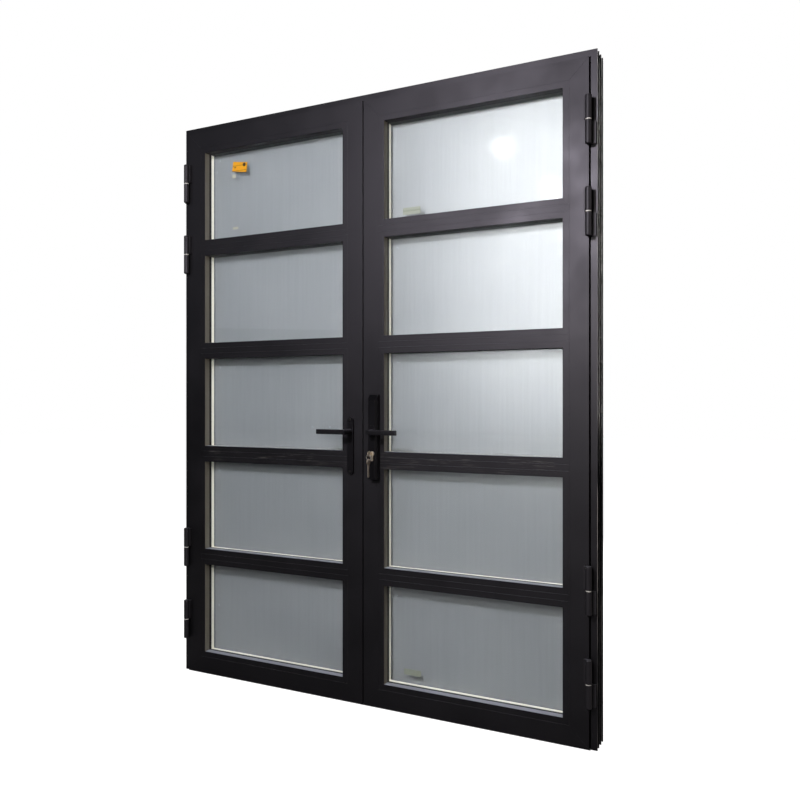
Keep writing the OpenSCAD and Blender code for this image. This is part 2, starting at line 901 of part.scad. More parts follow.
module left_backplate() {
    r = left_plate_w / 2;
    z0 = lever_z - left_plate_drop;
    z1 = z0 + left_plate_h;
    y0 = leaf_front - left_plate_t;
    color("#2a2a2c") side(-1) difference() {
        union() {
            rod_y(left_x, z0 + r, r, y0, leaf_front);
            rod_y(left_x, z1 - r, r, y0, leaf_front);
            box([left_x - r, y0, z0 + r], [left_x + r, leaf_front, z1 - r]);
        }
        rod_y(left_x, lever_z, hub_r + run_gap, y0 - 1, leaf_front + 1);
        for (z = left_screws_z)
            rod_y(left_x, lever_z + z, screw_r + run_gap, y0 - 1, leaf_front + 1);
    }
}

module screw_in(x, z, y_head, y_end) {
    rod_y(x, z, screw_head_r, y_head - screw_head_h, y_head);
    rod_y(x, z, screw_r, y_head - screw_head_h, y_end);
}

module left_plate_screws() {
    color("#7d7c7a") side(-1) for (z = left_screws_z)
        screw_in(left_x, lever_z + z, leaf_front - left_plate_t, leaf_front + 12);
}

// An involute is close to a straight flank at this size
module pinion_section() {
    step = 360 / pinion_teeth;
    tip = pinion_r + tooth_m;
    root = pinion_r - rack_root;
    flank = [[root, 0.31], [pinion_r, 0.22], [tip, 0.1]];
    polygon([for (t = [0:pinion_teeth - 1]) each concat(
        [for (k = [0:2]) flank[k][0] * [cos(step * (t - flank[k][1])), sin(step * (t - flank[k][1]))]],
        [for (k = [2:-1:0]) flank[k][0] * [cos(step * (t + flank[k][1])), sin(step * (t + flank[k][1]))]]
    )]);
}

// The pinion lies between the racks, with a tooth space facing each of them
module left_pinion() {
    color("#8a8b8e") side(-1) difference() {
        translate([left_x, 0, lever_z]) plate_y(shoot_y[0], shoot_y[1])
            rotate(180 / pinion_teeth) pinion_section();
        spindle_hole(left_x, shoot_y[0] - 1, shoot_y[1] + 1);
    }
}

// A rack that faces +X, with its pitch line on x = 0 and a tooth on z = 0
module rack() {
    half = rack_teeth / 2;
    plate_y(shoot_y[0], shoot_y[1]) polygon(concat(
        [[-rack_root - shoot_bar_t, -half * rack_pitch], [-rack_root, -half * rack_pitch]],
        [for (t = [-half + 1:half - 1]) each [
            [-rack_root, (t - 0.36) * rack_pitch], [tooth_m, (t - 0.1) * rack_pitch],
            [tooth_m, (t + 0.1) * rack_pitch], [-rack_root, (t + 0.36) * rack_pitch]
        ]],
        [[-rack_root, half * rack_pitch], [-rack_root - shoot_bar_t, half * rack_pitch]]
    ));
}

// Turning the lever down draws the top bolt down and the bottom bolt up
module top_shoot_bolt() {
    x = left_x + pinion_r;
    top = frame_h - frame_face + shoot_engage;
    neck = leaf_z1 - stile_face - 40;
    color("#9b9c9f") side(-1) {
        translate([x, 0, lever_z]) mirror([1, 0, 0]) rack();
        box([x + rack_root, shoot_y[0], lever_z + rack_teeth / 2 * rack_pitch - 1],
            [x + rack_root + shoot_bar_t, shoot_y[1], neck]);
        translate([top_tip_x, shoot_mid_y, neck - 6]) cylinder(r = shoot_r, h = top - neck + 6);
    }
}

module bottom_shoot_bolt() {
    x = left_x - pinion_r;
    neck = leaf_z0 + stile_face + 40;
    color("#9b9c9f") side(-1) {
        translate([x, 0, lever_z]) rack();
        box([x - rack_root - shoot_bar_t, shoot_y[0], neck],
            [x - rack_root, shoot_y[1], lever_z - rack_teeth / 2 * rack_pitch + 1]);
        translate([low_tip_x, shoot_mid_y, 0.5]) cylinder(r = shoot_r, h = neck + 5.5);
    }
}

// The case of the bolt drive: two cheeks in front of and behind the racks, and their ends
module left_gear_case() {
    x0 = left_x - pinion_r - rack_root - shoot_bar_t - 4;
    x1 = leaf_x0 + stile_face - wall;
    y0 = leaf_front + wall;
    color("#77787b") side(-1) difference() {
        union() {
            for (y = [[shoot_y[0] - 2, shoot_y[0] - lock_gap], [shoot_y[1] + lock_gap, shoot_y[1] + 2]])
                box([x0, y[0], lever_z - gear_case_half], [x1, y[1], lever_z + gear_case_half]);
            box([x0, y0, lever_z - gear_case_half],
                [x0 + 2, shoot_y[1] + 2, lever_z + gear_case_half]);
        }
        rod_y(left_x, lever_z, hub_r, leaf_front, shoot_y[1] + 5);
        for (z = left_screws_z)
            rod_y(left_x, lever_z + z, screw_r + lock_gap, leaf_front, shoot_y[1] + 5);
    }
}

// The strike plate's two windows catch the latch and the dead bolt
module strike_plate() {
    color("#8a8b8e") side(-1) difference() {
        box([body_x0 - faceplate_t, faceplate_y[0], dead_z - 40], [body_x0, faceplate_y[1], lever_z + 40]);
        latch_window();
        dead_window();
    }
}

// ---- Right leaf's hardware ----

module cylinder_section(grow) {
    circle(r = cyl_r + grow);
    translate([-cyl_web / 2 - grow, -cyl_drop + cyl_web / 2])
        square([cyl_web + 2 * grow, cyl_drop - cyl_web / 2]);
    translate([0, -cyl_drop + cyl_web / 2]) circle(r = cyl_web / 2 + grow);
}

module cylinder_hole(y0, y1) {
    translate([right_x, 0, cylinder_z]) plate_y(y0, y1) cylinder_section(lock_gap);
}

// The lock plate has a sloped top and bevelled edges
module right_lock_plate() {
    x0 = right_x - right_plate_w / 2;
    x1 = x0 + right_plate_w;
    z0 = lever_z - right_plate_drop;
    z1 = z0 + right_plate_h;
    y0 = leaf_front - right_plate_t;
    color("#323135") difference() {
        intersection() {
            translate([0, 0, z0]) linear_extrude(right_plate_h) polygon([
                [x0, leaf_front], [x0, y0 + plate_edge], [x0 + plate_edge, y0],
                [x1 - plate_bevel, y0], [x1, y0 + plate_bevel], [x1, leaf_front]
            ]);
            translate([x0, 0, 0]) rotate([90, 0, 90]) linear_extrude(right_plate_w) polygon([
                [leaf_front, z0], [y0 + plate_edge, z0], [y0, z0 + plate_edge],
                [y0, z1 - plate_slope], [y0 + plate_slope_depth, z1], [leaf_front, z1]
            ]);
        }
        rod_y(right_x, lever_z, hub_r + run_gap, y0 - 1, leaf_front + 1);
        cylinder_hole(y0 - 1, leaf_front + 1);
        for (z = outer_screws_z)
            rod_y(right_x, lever_z + z, screw_r + run_gap,
                leaf_front - clamp_screw_end - 1, leaf_front + 1);
        for (x = [-set_screw_x, set_screw_x])
            rod_y(right_x + x, lever_z + set_screw_up, set_screw_r + run_gap, y0 - 1, y0 + 8);
    }
}

module outer_lock_plate() {
    x0 = right_x - right_plate_w / 2;
    x1 = x0 + right_plate_w;
    z0 = lever_z - right_plate_drop;
    y1 = leaf_back + outer_plate_t;
    color("#323135") difference() {
        translate([0, 0, z0]) linear_extrude(right_plate_h) polygon([
            [x0, leaf_back], [x0, y1 - plate_edge], [x0 + plate_edge, y1],
            [x1 - plate_edge, y1], [x1, y1 - plate_edge], [x1, leaf_back]
        ]);
        rod_y(right_x, lever_z, hub_r + run_gap, leaf_back - 1, y1 + 1);
        cylinder_hole(leaf_back - 1, y1 + 1);
        for (z = outer_screws_z)
            rod_y(right_x, lever_z + z, screw_r + run_gap, leaf_back - 1, y1 + 1);
    }
}

// Two long screws clamp the plates together, and two small ones lock the front plate
module right_plate_screws() {
    y1 = leaf_back + outer_plate_t;
    y0 = leaf_front - right_plate_t;
    color("#7d7c7a") {
        for (z = outer_screws_z) {
            rod_y(right_x, lever_z + z, screw_head_r, y1, y1 + screw_head_h);
            rod_y(right_x, lever_z + z, screw_r, leaf_front - clamp_screw_end, y1 + screw_head_h);
        }
        for (x = [-set_screw_x, set_screw_x])
            rod_y(right_x + x, lever_z + set_screw_up, set_screw_r, y0 - 0.3, y0 + 7);
    }
}

// A sheet-metal case, open at the leaf's edge where the faceplate closes it
module lock_case() {
    color("#7a7b7e") difference() {
        box([body_x0, case_y[0], case_z[0]], [case_x1, case_y[1], case_z[1]]);
        box([body_x0 - 1, case_y[0] + case_wall, case_z[0] + case_wall],
            [case_x1 - case_wall, case_y[1] - case_wall, case_z[1] - case_wall]);
        rod_y(right_x, lever_z, hub_r + lock_gap, case_y[0] - 1, case_y[1] + 1);
        cylinder_hole(case_y[0] - 1, case_y[1] + 1);
        for (z = outer_screws_z)
            rod_y(right_x, lever_z + z, screw_r + lock_gap, case_y[0] - 1, case_y[1] + 1);
    }
}

module lock_faceplate() {
    color("#a2a3a6") difference() {
        box([body_x0 - faceplate_t, faceplate_y[0], faceplate_z[0]],
            [body_x0, faceplate_y[1], faceplate_z[1]]);
        latch_window();
        dead_window();
    }
}

module lever_follower() {
    color("#8a8b8e") difference() {
        union() {
            rod_y(right_x, lever_z, hub_r,
                case_y[0] + case_wall + lock_gap, case_y[1] - case_wall - lock_gap);
            translate([right_x, 0, lever_z]) rotate([0, 45, 0])
                box([-3, bolt_y - 3, -15], [3, bolt_y + 3, 0]);
        }
        spindle_hole(right_x, case_y[0], case_y[1]);
    }
}

// The latch's back face is bevelled, so that closing the leaf pushes it in
module latch_bolt() {
    y0 = bolt_y - latch_t / 2;
    y1 = bolt_y + latch_t / 2;
    color("#b0b1b4") translate([0, 0, lever_z - latch_h / 2]) linear_extrude(latch_h) polygon([
        [-latch_tip, y0], [-latch_tip, y0 + 3], [body_x0 - faceplate_t, y1],
        [latch_len - latch_tip, y1], [latch_len - latch_tip, y0]
    ]);
}

module dead_bolt() {
    x0 = body_x0 - faceplate_t + 0.5;
    color("#b0b1b4") box([x0, bolt_y - dead_t / 2, dead_z - dead_h / 2],
        [x0 + dead_len, bolt_y + dead_t / 2, dead_z + dead_h / 2]);
}

module lock_cylinder() {
    y0 = leaf_front - right_plate_t - cyl_out;
    y1 = leaf_back + outer_plate_t + cyl_out;
    color("#c3b9a2") difference() {
        translate([right_x, 0, cylinder_z]) plate_y(y0, y1) cylinder_section(0);
        rod_y(right_x, cylinder_z, plug_r + run_gap, y0 - 1, cam_y[1] + lock_gap);
        box([right_x - 20, cam_y[0] - lock_gap, cylinder_z - cyl_r - 6],
            [right_x + 20, cam_y[1] + lock_gap, cylinder_z + 20]);
    }
}

// The plug turns in the cylinder, and its cam drives the dead bolt
module cylinder_plug() {
    color("#cfc5ad") difference() {
        union() {
            rod_y(right_x, cylinder_z, plug_r, plug_face, cam_y[1]);
            box([right_x - 3.5, cam_y[0], cylinder_z - cam_r], [right_x + 3.5, cam_y[1], cylinder_z]);
        }
        box([right_x - key_t / 2 - 0.1, plug_face - 1, cylinder_z - key_blade_h / 2 - 0.1],
            [right_x + key_t / 2 + 0.1, plug_face + key_blade_len + 1,
             cylinder_z + key_blade_h / 2 + 0.1]);
    }
}

// A key points to +X, with its bow at the origin and its hole behind
module key_outline(blade) {
    difference() {
        union() {
            circle(r = bow_r);
            translate([0, -4.5]) square([bow_r + key_neck - 1, 9]);
            translate([bow_r + key_neck - 2, -key_blade_h / 2]) square([blade + 2, key_blade_h]);
        }
        translate([-5, 0]) circle(r = key_hole_r);
        for (c = [0:4])
            translate([bow_r + key_neck + 6 + 5 * c, key_blade_h / 2])
                circle(r = 1.2 + 0.4 * ((c * 2) % 3), $fn = 4);
    }
}

module key() {
    color("#c9bda6") translate([right_x - key_t / 2, bow_y, cylinder_z])
        rotate([90, 0, 90]) linear_extrude(key_t) key_outline(key_blade_len);
}

// Two turns of wire lie side by side
module split_ring() {
    color("#d8d6d2") translate([right_x, ring_y, ring_z]) rotate([90, 0, 0])
        for (w = [-1, 1])
            translate([0, 0, w * ring_strand]) rotate_extrude()
                translate([ring_r, 0]) circle(r = ring_strand, $fn = 24);
}

module spare_key() {
    color("#c9bda6") translate([right_x - key_t / 2, ring_y, spare_bow_z])
        rotate([90, 90, 90]) linear_extrude(key_t) key_outline(spare_blade);
}

left_jamb();
right_jamb();
head();
threshold();
frame_thermal_breaks();
frame_corner_cleats();
stop_gasket();
frame_hinge_knuckles();
hinge_pins();
hinge_washers();
left_hinge_stile();
left_meeting_stile();
left_top_rail();
left_bottom_rail();
left_glazing_bars();
left_thermal_breaks();
left_glazing_beads();
left_front_panes();
left_rear_panes();
left_spacer_bars();
left_glazing_gaskets();
left_hinge_knuckles();
left_gear_case();
left_backplate();
left_plate_screws();
strike_plate();
left_lever();
left_spindle();
left_pinion();
top_shoot_bolt();
bottom_shoot_bolt();
right_hinge_stile();
right_meeting_stile();
right_top_rail();
right_bottom_rail();
right_glazing_bars();
right_thermal_breaks();
right_glazing_beads();
right_front_panes();
right_rear_panes();
right_spacer_bars();
right_glazing_gaskets();
right_hinge_knuckles();
meeting_seal();
lock_case();
lock_faceplate();
right_lock_plate();
outer_lock_plate();
right_plate_screws();
lock_cylinder();
right_lever();
outer_lever();
right_spindle();
lever_follower();
latch_bolt();
dead_bolt();
cylinder_plug();
key();
split_ring();
spare_key();
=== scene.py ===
import json
import math

import bpy
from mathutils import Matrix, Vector

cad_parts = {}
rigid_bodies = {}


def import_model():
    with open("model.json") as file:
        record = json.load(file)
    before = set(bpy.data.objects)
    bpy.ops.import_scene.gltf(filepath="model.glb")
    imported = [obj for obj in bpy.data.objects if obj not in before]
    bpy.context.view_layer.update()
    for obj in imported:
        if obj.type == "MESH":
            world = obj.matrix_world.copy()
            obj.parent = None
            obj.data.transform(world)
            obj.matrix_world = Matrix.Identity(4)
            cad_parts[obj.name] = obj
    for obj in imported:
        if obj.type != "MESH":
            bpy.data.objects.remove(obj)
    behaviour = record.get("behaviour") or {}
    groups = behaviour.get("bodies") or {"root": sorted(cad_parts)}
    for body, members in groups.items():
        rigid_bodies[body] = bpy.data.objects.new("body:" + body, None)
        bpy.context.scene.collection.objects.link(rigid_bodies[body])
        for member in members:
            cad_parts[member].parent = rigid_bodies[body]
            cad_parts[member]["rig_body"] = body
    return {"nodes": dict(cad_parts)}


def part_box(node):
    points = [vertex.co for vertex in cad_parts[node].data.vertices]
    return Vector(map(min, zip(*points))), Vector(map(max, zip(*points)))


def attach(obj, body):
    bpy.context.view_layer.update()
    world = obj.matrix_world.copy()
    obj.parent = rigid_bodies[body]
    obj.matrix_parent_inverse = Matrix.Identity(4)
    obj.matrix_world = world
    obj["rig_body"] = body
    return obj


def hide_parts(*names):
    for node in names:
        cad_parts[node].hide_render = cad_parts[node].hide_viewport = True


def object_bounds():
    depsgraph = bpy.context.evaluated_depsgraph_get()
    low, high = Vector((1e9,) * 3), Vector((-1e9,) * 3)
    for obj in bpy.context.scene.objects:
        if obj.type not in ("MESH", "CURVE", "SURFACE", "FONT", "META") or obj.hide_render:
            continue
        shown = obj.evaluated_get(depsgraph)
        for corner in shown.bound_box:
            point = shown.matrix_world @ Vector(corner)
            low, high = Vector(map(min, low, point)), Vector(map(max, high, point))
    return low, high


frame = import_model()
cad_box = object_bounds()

MM = 0.001

# ---- The view ----
# The doors stand shut. The eye is in front of the right leaf's hinge stile, level with the
# third lite, so that every upright stays upright and every reveal shows its left-hand side.
bpy.ops.object.camera_add(
    location=(1.3467, -2.3714, 1.0490), rotation=(math.radians(90), 0, math.radians(27.017))
)
eye = bpy.context.object
eye.data.sensor_width = 36
eye.data.lens = 35.57
bpy.context.scene.camera = eye
bpy.context.scene.view_settings.view_transform = "Standard"


# ---- The studio ----
# A floor, a surround and five lamps: a small strong one high in front, a small one at eye
# level, a dim fill on the left, a wide one behind the frosted panes and a dim one at the
# right, along the jamb.
def linear(hex_colour):
    """An sRGB hex colour as the linear colour that a shader takes."""
    shares = [int(hex_colour[i : i + 2], 16) / 255 for i in (1, 3, 5)]
    return (
        *(s / 12.92 if s <= 0.04045 else ((s + 0.055) / 1.055) ** 2.4 for s in shares),
        1.0,
    )


def add(tree_of, kind, feeds=None, **settings):
    """Adds a node. feeds names or numbers its inputs, each with a value or the output it takes."""
    node = tree_of.node_tree.nodes.new(kind)
    for name, value in settings.items():
        setattr(node, name, value)
    for socket, feed in (feeds or {}).items():
        if isinstance(feed, bpy.types.NodeSocket):
            tree_of.node_tree.links.new(feed, node.inputs[socket])
        else:
            node.inputs[socket].default_value = feed
    return node


def finish(name, **sockets):
    """A new material whose shader has these values. Returns it and the shader."""
    material = bpy.data.materials.new(name)
    material.use_nodes = True
    shader = material.node_tree.nodes["Principled BSDF"]
    for socket, value in sockets.items():
        shader.inputs[socket.replace("_", " ")].default_value = value
    return material, shader


def soft_box(name, place, aim, width, height, power, colour):
    """An area light that hangs at place and faces aim. Its power is in watts."""
    turn = (Vector(aim) - Vector(place)).to_track_quat("-Z", "Y").to_euler()
    bpy.ops.object.light_add(type="AREA", location=place, rotation=turn)
    lamp = bpy.context.object
    lamp.name = name
    lamp.data.shape = "RECTANGLE"
    lamp.data.size = width
    lamp.data.size_y = height
    lamp.data.energy = power
    lamp.data.color = linear(colour)[:3]


surround = bpy.data.worlds.new("surround")
surround.use_nodes = True
bpy.context.scene.world = surround
sky = surround.node_tree.nodes["Background"]
# The surround and the floor are white to the eye. To the doors they are much dimmer, so that
# the dark paint stays dark.
seen = add(surround, "ShaderNodeLightPath").outputs["Is Camera Ray"]
tone = add(
    surround, "ShaderNodeMix", {0: seen, 6: linear("#1d1f21"), 7: linear("#ffffff")},
    data_type="RGBA",
)
surround.node_tree.links.new(tone.outputs[2], sky.inputs["Color"])
sky.inputs["Strength"].default_value = 1.0

bpy.ops.object.select_all(action="DESELECT")
bpy.ops.mesh.primitive_plane_add(size=40)
floor = bpy.context.object
floor.name = "floor"
matt_white, shader = finish("matt_white_floor", Roughness=0.9)
shader.inputs["Base Color"].default_value = linear("#6e6e6e")
shader.inputs["Emission Color"].default_value = linear("#ffffff")
seen = add(matt_white, "ShaderNodeLightPath").outputs["Is Camera Ray"]
matt_white.node_tree.links.new(seen, shader.inputs["Emission Strength"])
floor.data.materials.append(matt_white)

soft_box("key_box", (-0.07, -2.49, 2.38), (0.5, 0, 1.5), 0.06, 0.06, 60, "#fffaff")
soft_box("lens_box", (0.69, -2.5, 1.55), (0.2, 0, 1.0), 0.15, 0.15, 16, "#fffaf2")
soft_box("fill_box", (-2.6, -3.0, 2.6), (-0.2, 0, 1.0), 2.0, 2.0, 5, "#eef4ff")
soft_box("rear_box", (0.3, 3.2, 2.1), (0.3, 0, 1.3), 2.6, 2.6, 310, "#fffaf6")
soft_box("side_box", (3.0, -0.5, 1.8), (0.8, 0, 1.4), 0.2, 1.2, 12, "#fff8f0")


# ---- The frame ----
# Two jambs and a head of aluminium extrusion, mitred and cleated at the top corners, and a
# flat threshold. They are painted after cutting with a fine-grained dark powder coat.
def loose_copy(node, name):
    """A CAD node's own mesh in an object of its own, its corners joined and its faces whole."""
    bpy.ops.object.select_all(action="DESELECT")
    piece = bpy.data.objects.new(name, frame["nodes"][node].data.copy())
    bpy.context.scene.collection.objects.link(piece)
    piece.select_set(True)
    bpy.context.view_layer.objects.active = piece
    bpy.ops.mesh.customdata_custom_splitnormals_clear()
    bpy.ops.object.mode_set(mode="EDIT")
    bpy.ops.mesh.select_all(action="SELECT")
    bpy.ops.mesh.remove_doubles(threshold=0.01 * MM)
    bpy.ops.mesh.dissolve_limited(angle_limit=math.radians(0.5))
    bpy.ops.object.mode_set(mode="OBJECT")
    return piece


def ease(piece, radius):
    """Rounds a piece's corners by radius, in mm, as a die, a file or a coat of paint does."""
    bevel = piece.modifiers.new("eased_corners", "BEVEL")
    bevel.width = radius * MM
    bevel.segments = 2
    bevel.limit_method = "ANGLE"
    bevel.angle_limit = math.radians(35)
    bevel.miter_outer = "MITER_ARC"
    bpy.ops.object.modifier_apply(modifier=bevel.name)
    bpy.ops.object.shade_smooth_by_angle(angle=math.radians(32))
    flat = piece.modifiers.new("flat_faces", "WEIGHTED_NORMAL")
    flat.weight = 100
    flat.keep_sharp = True
    bpy.ops.object.modifier_apply(modifier=flat.name)


def stand_for(piece, node, material):
    """Gives a piece its material, and puts it in a CAD node's stead."""
    piece.data.materials.clear()
    piece.data.materials.append(material)
    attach(piece, frame["nodes"][node]["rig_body"])
    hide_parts(node)


def painted(node, material, radius):
    """Shows a CAD node with its corners eased by radius, in mm, and a new material."""
    piece = loose_copy(node, node + "_painted")
    ease(piece, radius)
    stand_for(piece, node, material)


def powder_coat(name, colour, roughness, grain, dust_and_top_light):
    """Polyester powder coat on aluminium: a pebbled skin whose grain is given in mm, and drawn
    coarser than the real one so that it shows. It shines a little cool, dulls in clouds where
    hands have been, and what faces up is drawn pale in clouds: dust, and partly a painted top
    light from the lamps above."""
    cloud = 160 * MM
    pebble_height = 0.15 * MM
    coat, shader = finish(name, Roughness=roughness)
    shader.inputs["Specular Tint"].default_value = linear("#f6f2ff")
    place = add(coat, "ShaderNodeTexCoord").outputs["Object"]
    pebbles = add(
        coat, "ShaderNodeTexNoise", {"Vector": place, "Scale": 1 / (grain * MM), "Detail": 3.0}
    )
    clouds = add(
        coat, "ShaderNodeTexNoise", {"Vector": place, "Scale": 1 / cloud, "Detail": 5.0}
    )
    # Partly painted top light: what faces up is mixed toward pale grey in clouds, as dust and as
    # the lamps above light it.
    faces_up = add(
        coat, "ShaderNodeSeparateXYZ",
        {0: add(coat, "ShaderNodeNewGeometry").outputs["Normal"]},
    ).outputs["Z"]
    upward_pale = add(
        coat, "ShaderNodeMapRange",
        {"Value": faces_up, "From Min": 0.6, "From Max": 0.95, "To Max": dust_and_top_light},
    )
    pale_top_mask = add(
        coat, "ShaderNodeMath",
        {0: upward_pale.outputs[0], 1: clouds.outputs[0]}, operation="MULTIPLY",
    )
    deep = tuple(0.82 * c for c in linear(colour)[:3]) + (1.0,)
    skin = add(
        coat, "ShaderNodeMix", {0: clouds.outputs[0], 6: deep, 7: linear(colour)},
        data_type="RGBA",
    )
    tinted = add(
        coat, "ShaderNodeMix", {0: pale_top_mask.outputs[0], 6: skin.outputs[2], 7: linear("#9a9da6")},
        data_type="RGBA",
    )
    dulled = add(
        coat, "ShaderNodeMapRange",
        {"Value": clouds.outputs[0], "From Min": 0.35, "From Max": 0.7,
         "To Min": roughness - 0.06, "To Max": roughness + 0.07},
    )
    raised = add(
        coat, "ShaderNodeBump",
        {"Height": pebbles.outputs[0], "Strength": 0.4, "Distance": pebble_height},
    )
    links = coat.node_tree.links
    links.new(tinted.outputs[2], shader.inputs["Base Color"])
    links.new(dulled.outputs[0], shader.inputs["Roughness"])
    links.new(raised.outputs[0], shader.inputs["Normal"])
    return coat


def highlight_streaked_coat():
    """The frame's powder coat, with pale grey streaks drawn in long strokes down its outer side
    faces: a painted highlight. The real grain is about half as wide."""
    rim = 0.8 * MM
    stroke = 12 * MM
    coat = powder_coat("frame_powder_coat", "#080809", roughness=0.45, grain=1.6, dust_and_top_light=0.5)
    shader = coat.node_tree.nodes["Principled BSDF"]
    old = shader.inputs["Base Color"].links[0].from_socket
    place = add(coat, "ShaderNodeTexCoord").outputs["Object"]
    side = add(
        coat, "ShaderNodeMath",
        {0: add(coat, "ShaderNodeSeparateXYZ", {0: place}).outputs["X"]}, operation="ABSOLUTE",
    )
    outer = add(
        coat, "ShaderNodeMath", {0: side.outputs[0], 1: cad_box[1][0] - rim},
        operation="GREATER_THAN",
    )
    along = add(coat, "ShaderNodeMapping", {"Vector": place, "Scale": (1.0, 1.0, 0.03)})
    strokes = add(
        coat, "ShaderNodeTexNoise",
        {"Vector": along.outputs[0], "Scale": 1 / stroke, "Detail": 5.0},
    )
    worn = add(
        coat, "ShaderNodeMapRange",
        {"Value": strokes.outputs[0], "From Min": 0.52, "From Max": 0.62, "To Max": 0.8},
    )
    # Painted highlight: pale grey strokes down the outer side faces stand in for the lamps' glint
    # on them.
    highlight_streaks = add(
        coat, "ShaderNodeMath", {0: outer.outputs[0], 1: worn.outputs[0]}, operation="MULTIPLY"
    )
    highlighted = add(
        coat, "ShaderNodeMix", {0: highlight_streaks.outputs[0], 6: old, 7: linear("#b9b3ae")},
        data_type="RGBA",
    )
    coat.node_tree.links.new(highlighted.outputs[2], shader.inputs["Base Color"])
    return coat


frame_paint = highlight_streaked_coat()
for node in ("left_jamb", "right_jamb", "head", "threshold"):
    painted(node, frame_paint, 0.5)


# ---- The frame's inner parts ----
# Glass-filled polyamide strips join each profile's two halves. Bent plates of raw aluminium
# sit in the rear groove at the corners, and a black rubber tube seals the stop.
def coat_node(node, material):
    """Gives a CAD node, as it is, a new material."""
    piece = frame["nodes"][node]
    for place in piece.material_slots:
        place.material = material


def moulded(name, colour, roughness, grain):
    """Moulded or extruded plastic or rubber: even in colour, with a soft skin whose grain is
    given in mm, and drawn coarser than the real one so that it shows."""
    plastic, shader = finish(name)
    place = add(plastic, "ShaderNodeTexCoord").outputs["Object"]
    skin = add(
        plastic, "ShaderNodeTexNoise", {"Vector": place, "Scale": 1 / (grain * MM), "Detail": 4.0}
    )
    dark = tuple(0.8 * c for c in linear(colour)[:3]) + (1.0,)
    tint = add(
        plastic, "ShaderNodeMix", {0: skin.outputs[0], 6: dark, 7: linear(colour)},
        data_type="RGBA",
    )
    dulled = add(
        plastic, "ShaderNodeMapRange",
        {"Value": skin.outputs[0], "To Min": roughness - 0.1, "To Max": roughness + 0.1},
    )
    raised = add(
        plastic, "ShaderNodeBump",
        {"Height": skin.outputs[0], "Strength": 0.2, "Distance": 0.1 * MM},
    )
    links = plastic.node_tree.links
    links.new(tint.outputs[2], shader.inputs["Base Color"])
    links.new(dulled.outputs[0], shader.inputs["Roughness"])
    links.new(raised.outputs[0], shader.inputs["Normal"])
    return plastic


def brushed_metal(name, colour, roughness, lines, axis):
    """Bare metal, rolled, drawn or ground: fine lines run along one axis and break the shine
    up. They are lines mm apart, wider than the real ones so that they show."""
    stain = 14 * MM
    metal, shader = finish(name, Metallic=1.0)
    place = add(metal, "ShaderNodeTexCoord").outputs["Object"]
    stretch = [1.0, 1.0, 1.0]
    stretch["XYZ".index(axis)] = 0.03
    along = add(metal, "ShaderNodeMapping", {"Vector": place, "Scale": stretch})
    strokes = add(
        metal, "ShaderNodeTexNoise",
        {"Vector": along.outputs[0], "Scale": 1 / (lines * MM), "Detail": 3.0},
    )
    stains = add(
        metal, "ShaderNodeTexNoise", {"Vector": place, "Scale": 1 / stain, "Detail": 4.0}
    )
    dark = tuple(0.6 * c for c in linear(colour)[:3]) + (1.0,)
    tint = add(
        metal, "ShaderNodeMix", {0: stains.outputs[0], 6: dark, 7: linear(colour)},
        data_type="RGBA",
    )
    dulled = add(
        metal, "ShaderNodeMapRange",
        {"Value": strokes.outputs[0], "To Min": roughness - 0.12, "To Max": roughness + 0.15},
    )
    raised = add(
        metal, "ShaderNodeBump",
        {"Height": strokes.outputs[0], "Strength": 0.15, "Distance": 0.05 * MM},
    )
    links = metal.node_tree.links
    links.new(tint.outputs[2], shader.inputs["Base Color"])
    links.new(dulled.outputs[0], shader.inputs["Roughness"])
    links.new(raised.outputs[0], shader.inputs["Normal"])
    return metal


polyamide = moulded("glass_filled_polyamide", "#1c1c1f", roughness=0.6, grain=1.5)
mill_aluminium = brushed_metal(
    "mill_finish_aluminium", "#d3d3d0", roughness=0.35, lines=0.8, axis="Z"
)
rubber = moulded("epdm_rubber", "#121213", roughness=0.7, grain=1.2)
coat_node("frame_thermal_breaks", polyamide)
coat_node("frame_corner_cleats", mill_aluminium)
coat_node("stop_gasket", rubber)


# ---- The hinges ----
# Four surface hinges a side, cast in aluminium and painted a smoother black than the frame.
# A steel pin runs through both knuckles, and they turn on a thick white nylon washer.
hinge_paint = powder_coat("hinge_powder_coat", "#19181a", roughness=0.55, grain=2.0, dust_and_top_light=0.35)
for node in ("frame_hinge_knuckles", "left_hinge_knuckles", "right_hinge_knuckles"):
    painted(node, hinge_paint, 0.8)
pin_steel = brushed_metal("drawn_pin_steel", "#9b9b9c", roughness=0.3, lines=0.8, axis="Z")
coat_node("hinge_pins", pin_steel)
nylon = moulded("white_nylon", "#e9e7e0", roughness=0.45, grain=2.0)
painted("hinge_washers", nylon, 0.4)


